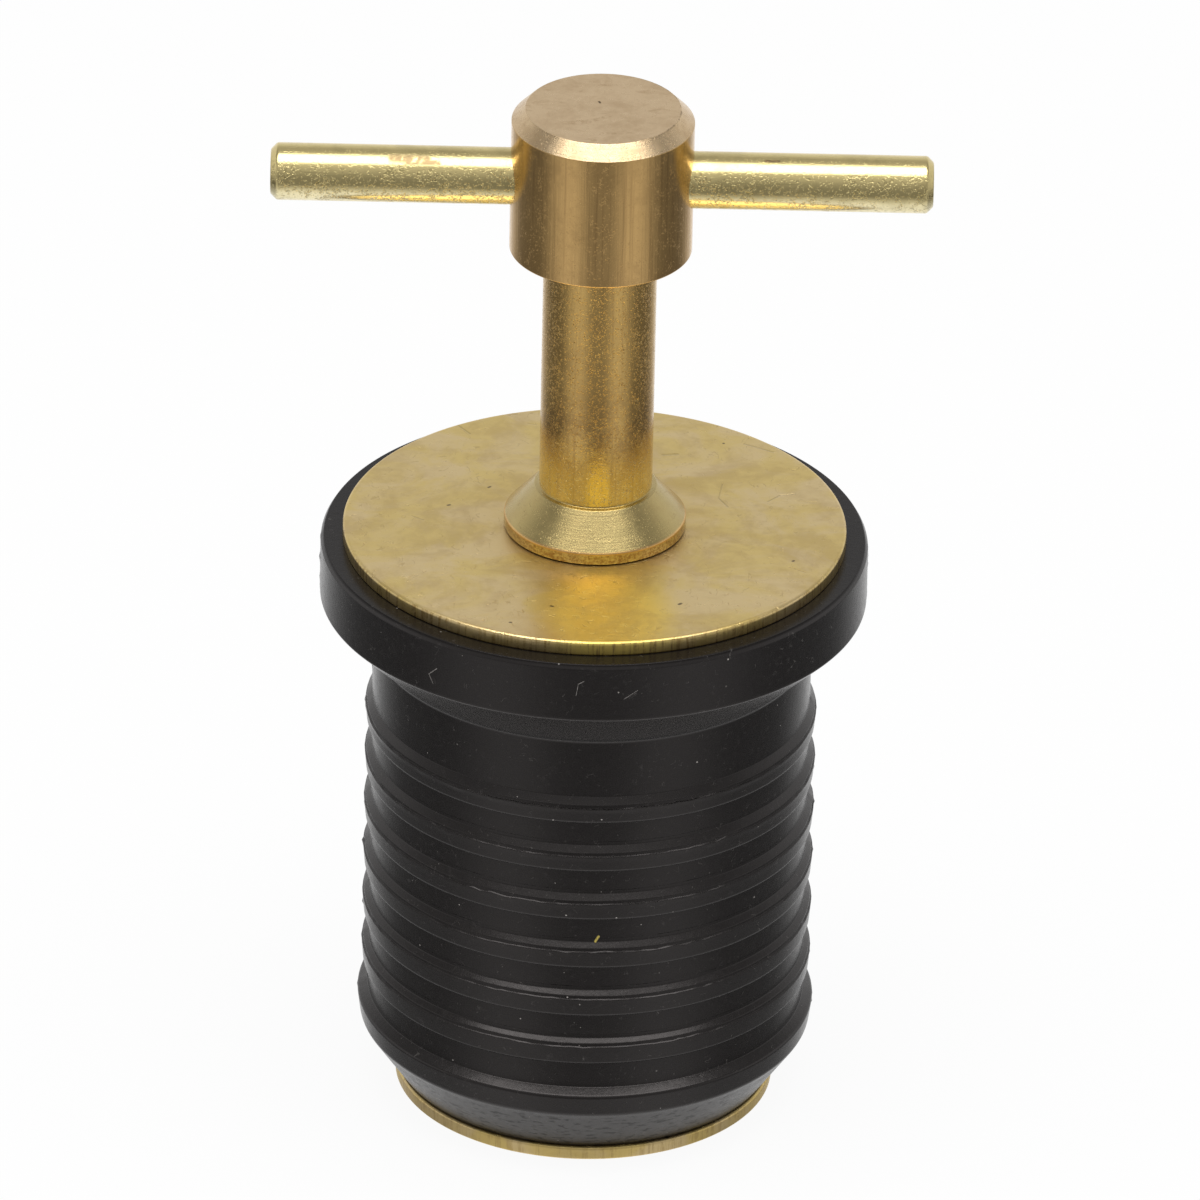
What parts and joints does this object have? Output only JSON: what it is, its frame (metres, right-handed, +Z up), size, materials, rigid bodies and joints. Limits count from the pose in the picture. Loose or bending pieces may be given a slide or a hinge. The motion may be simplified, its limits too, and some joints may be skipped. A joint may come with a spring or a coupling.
{
  "type": "twist-handle drain plug",
  "caption": "Expanding drain plug: brass T-handle on a screw, brass plates above and below a ribbed rubber sleeve with a flange.",
  "frame": {"origin": "centre of the lower plate's underside, on the screw's axis", "axes": "+Z up along the screw to the handle's head, +X along the cross bar"},
  "size_m": [0.0362, 0.03, 0.0598],
  "materials": {
    "turned_brass": "turned, lightly tarnished",
    "bar_brass": "drawn bar, pitted",
    "plate_brass": "rolled sheet, stained",
    "black_rubber": "moulded, matt"
  },
  "bodies": {
    "sleeve": {"rubber_sleeve": "black_rubber", "top_plate": "plate_brass"},
    "handle": {"handle_screw": "turned_brass", "cross_bar": "bar_brass"},
    "clamp": {"bottom_plate": "plate_brass", "clamp_nut": "turned_brass"}
  },
  "joints": [
    {"name": "handle_turn", "type": "hinge", "parent": "sleeve", "child": "handle", "pos_m": [0, 0, 0.03425], "axis": [0, 0, -1], "range_deg": [0, 990]},
    {"name": "clamp_draw", "type": "slide", "parent": "sleeve", "child": "clamp", "axis": [0, 0, 1], "range_m": [0, 0.0028], "deforming": ["rubber_sleeve"]}
  ],
  "couplings": [
    {"joint": "clamp_draw", "follows": "handle_turn", "m_per_rad": 0.00015915}
  ]
}
